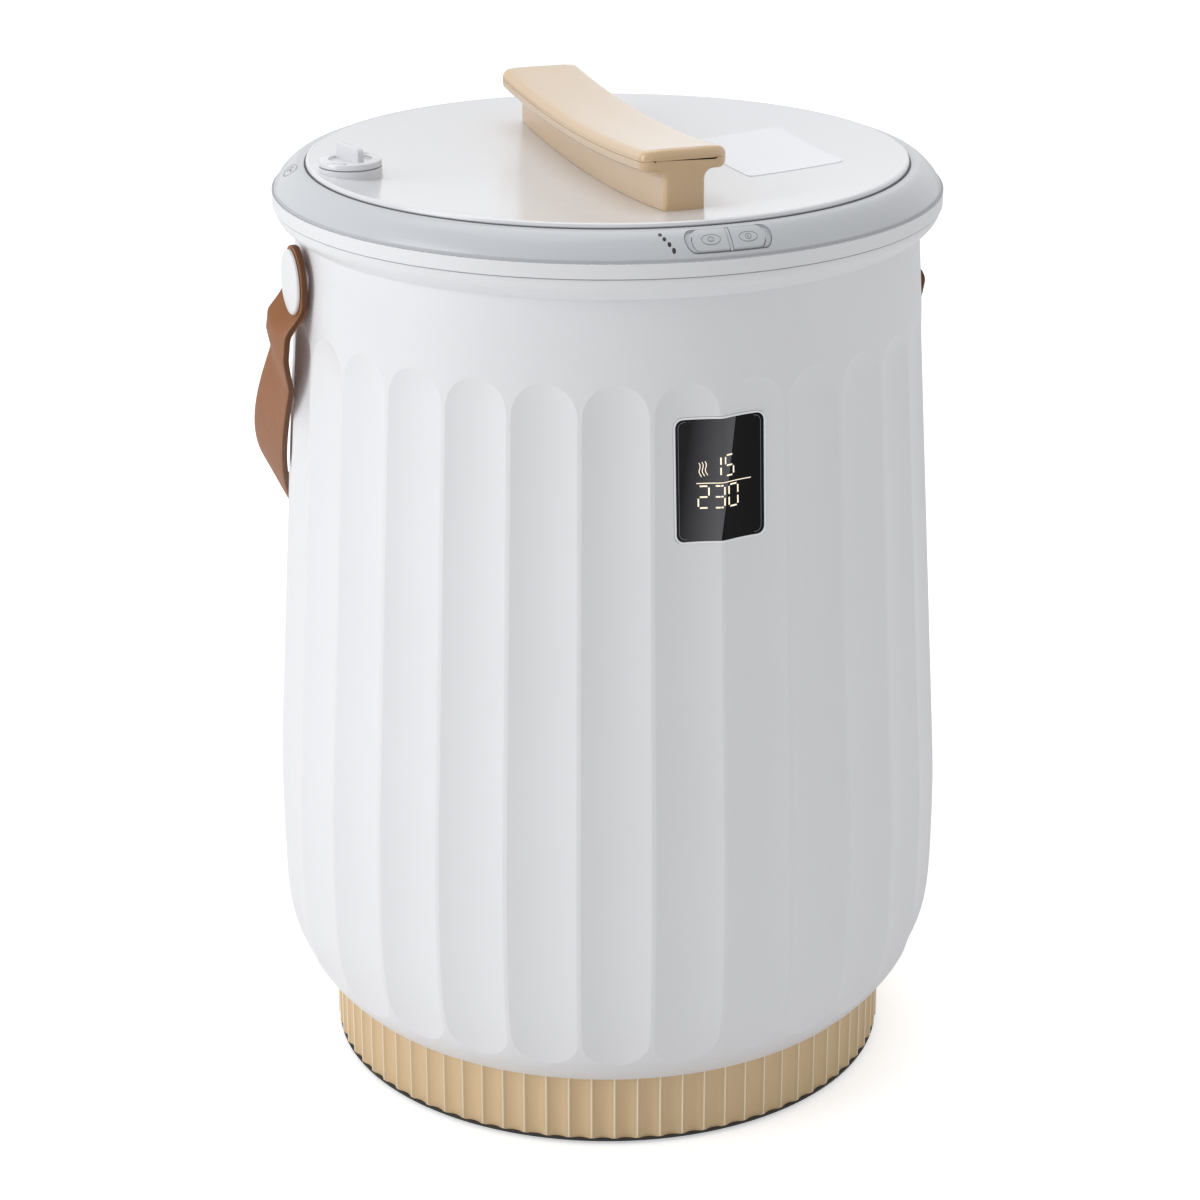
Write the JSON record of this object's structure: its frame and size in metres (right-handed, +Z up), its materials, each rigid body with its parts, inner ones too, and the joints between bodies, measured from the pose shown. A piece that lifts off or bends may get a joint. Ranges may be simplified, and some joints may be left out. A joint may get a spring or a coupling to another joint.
{
  "type": "towel warmer bucket",
  "caption": "Fluted bucket that warms towels: lift-off lid with a handle and a scent capsule, rim buttons, display window, ribbed base and a swinging strap.",
  "frame": {"origin": "centre of the bucket's axis on the table, in the plane of the four feet", "axes": "+Z up along the bucket's axis, -Y to the front with the display and the buttons, +X to the right seen from the front; the strap rests behind, towards +Y"},
  "size_m": [0.2996, 0.3167, 0.434],
  "materials": {
    "black_plastic": "gloss",
    "bucket_metal": "spun",
    "circuit_board": "solder mask",
    "dark_plate": "matt",
    "felt": "felt",
    "foil": "foil",
    "grey_plastic": "semi-gloss",
    "leather": "smooth, cut edges darker",
    "rubber": "matt",
    "steel": "brushed",
    "tan_plastic": "satin",
    "white_clear": "gloss film",
    "white_lid": "fine satin",
    "white_shell": "satin, moulded",
    "wool": "fibre blanket"
  },
  "bodies": {
    "housing": {"body_shell": "white_shell", "base_ring": "tan_plastic", "base_plate": "dark_plate", "base_screws": "steel", "rubber_feet": "rubber", "cord_gland": "rubber", "chassis": "white_shell", "chassis_screws": "steel", "bucket_posts": "steel", "inner_bucket": "bucket_metal", "heater_band": "foil", "insulation": "wool", "thermostat": "steel", "thermal_fuse": "white_shell", "control_board": "circuit_board", "board_screws": "steel", "board_parts": "dark_plate", "rim_collar": "white_shell", "rim_ring": "grey_plastic", "indicator_lenses": "black_plastic", "button_board": "circuit_board", "button_switches": "dark_plate", "indicator_leds": "white_clear", "display_window": "black_plastic", "display_frame": "dark_plate", "display_board": "circuit_board", "strap_washers": "steel", "strap_pins": "steel", "strap_caps": "white_shell"},
    "power_button": {"power_button": "grey_plastic"},
    "timer_button": {"timer_button": "grey_plastic"},
    "strap": {"strap": "leather"},
    "lid": {"lid_panel": "white_lid", "lid_liner": "white_shell", "lid_seal": "rubber", "lid_screws": "steel", "handle_base": "tan_plastic", "handle_top": "tan_plastic", "handle_screws": "steel", "lid_label": "white_clear", "scent_sleeve": "white_lid"},
    "scent_cup": {"scent_cup": "white_lid", "scent_pad": "felt"},
    "scent_cap": {"scent_cap": "white_lid"}
  },
  "joints": [
    {"name": "power_press", "type": "slide", "parent": "housing", "child": "power_button", "axis": [0, 0, -1], "range_m": [0, 0.0012], "stiffness_N_per_m": 300, "springref_m": -0.001},
    {"name": "timer_press", "type": "slide", "parent": "housing", "child": "timer_button", "axis": [0, 0, -1], "range_m": [0, 0.0012], "stiffness_N_per_m": 300, "springref_m": -0.001},
    {"name": "strap_swing", "type": "hinge", "parent": "housing", "child": "strap", "pos_m": [0, 0, 0.368], "axis": [1, 0, 0], "range_deg": [0, 265]},
    {"name": "lid_lift", "type": "slide", "parent": "housing", "child": "lid", "axis": [0, 0, 1], "range_m": [0, 0.08]},
    {"name": "scent_cup_lift", "type": "slide", "parent": "lid", "child": "scent_cup", "axis": [0, 0, 1], "range_m": [0, 0.025]},
    {"name": "scent_cap_turn", "type": "hinge", "parent": "scent_cup", "child": "scent_cap", "pos_m": [-0.112, 0.006, 0.415], "axis": [0, 0, 1], "range_deg": [0, 90]}
  ]
}
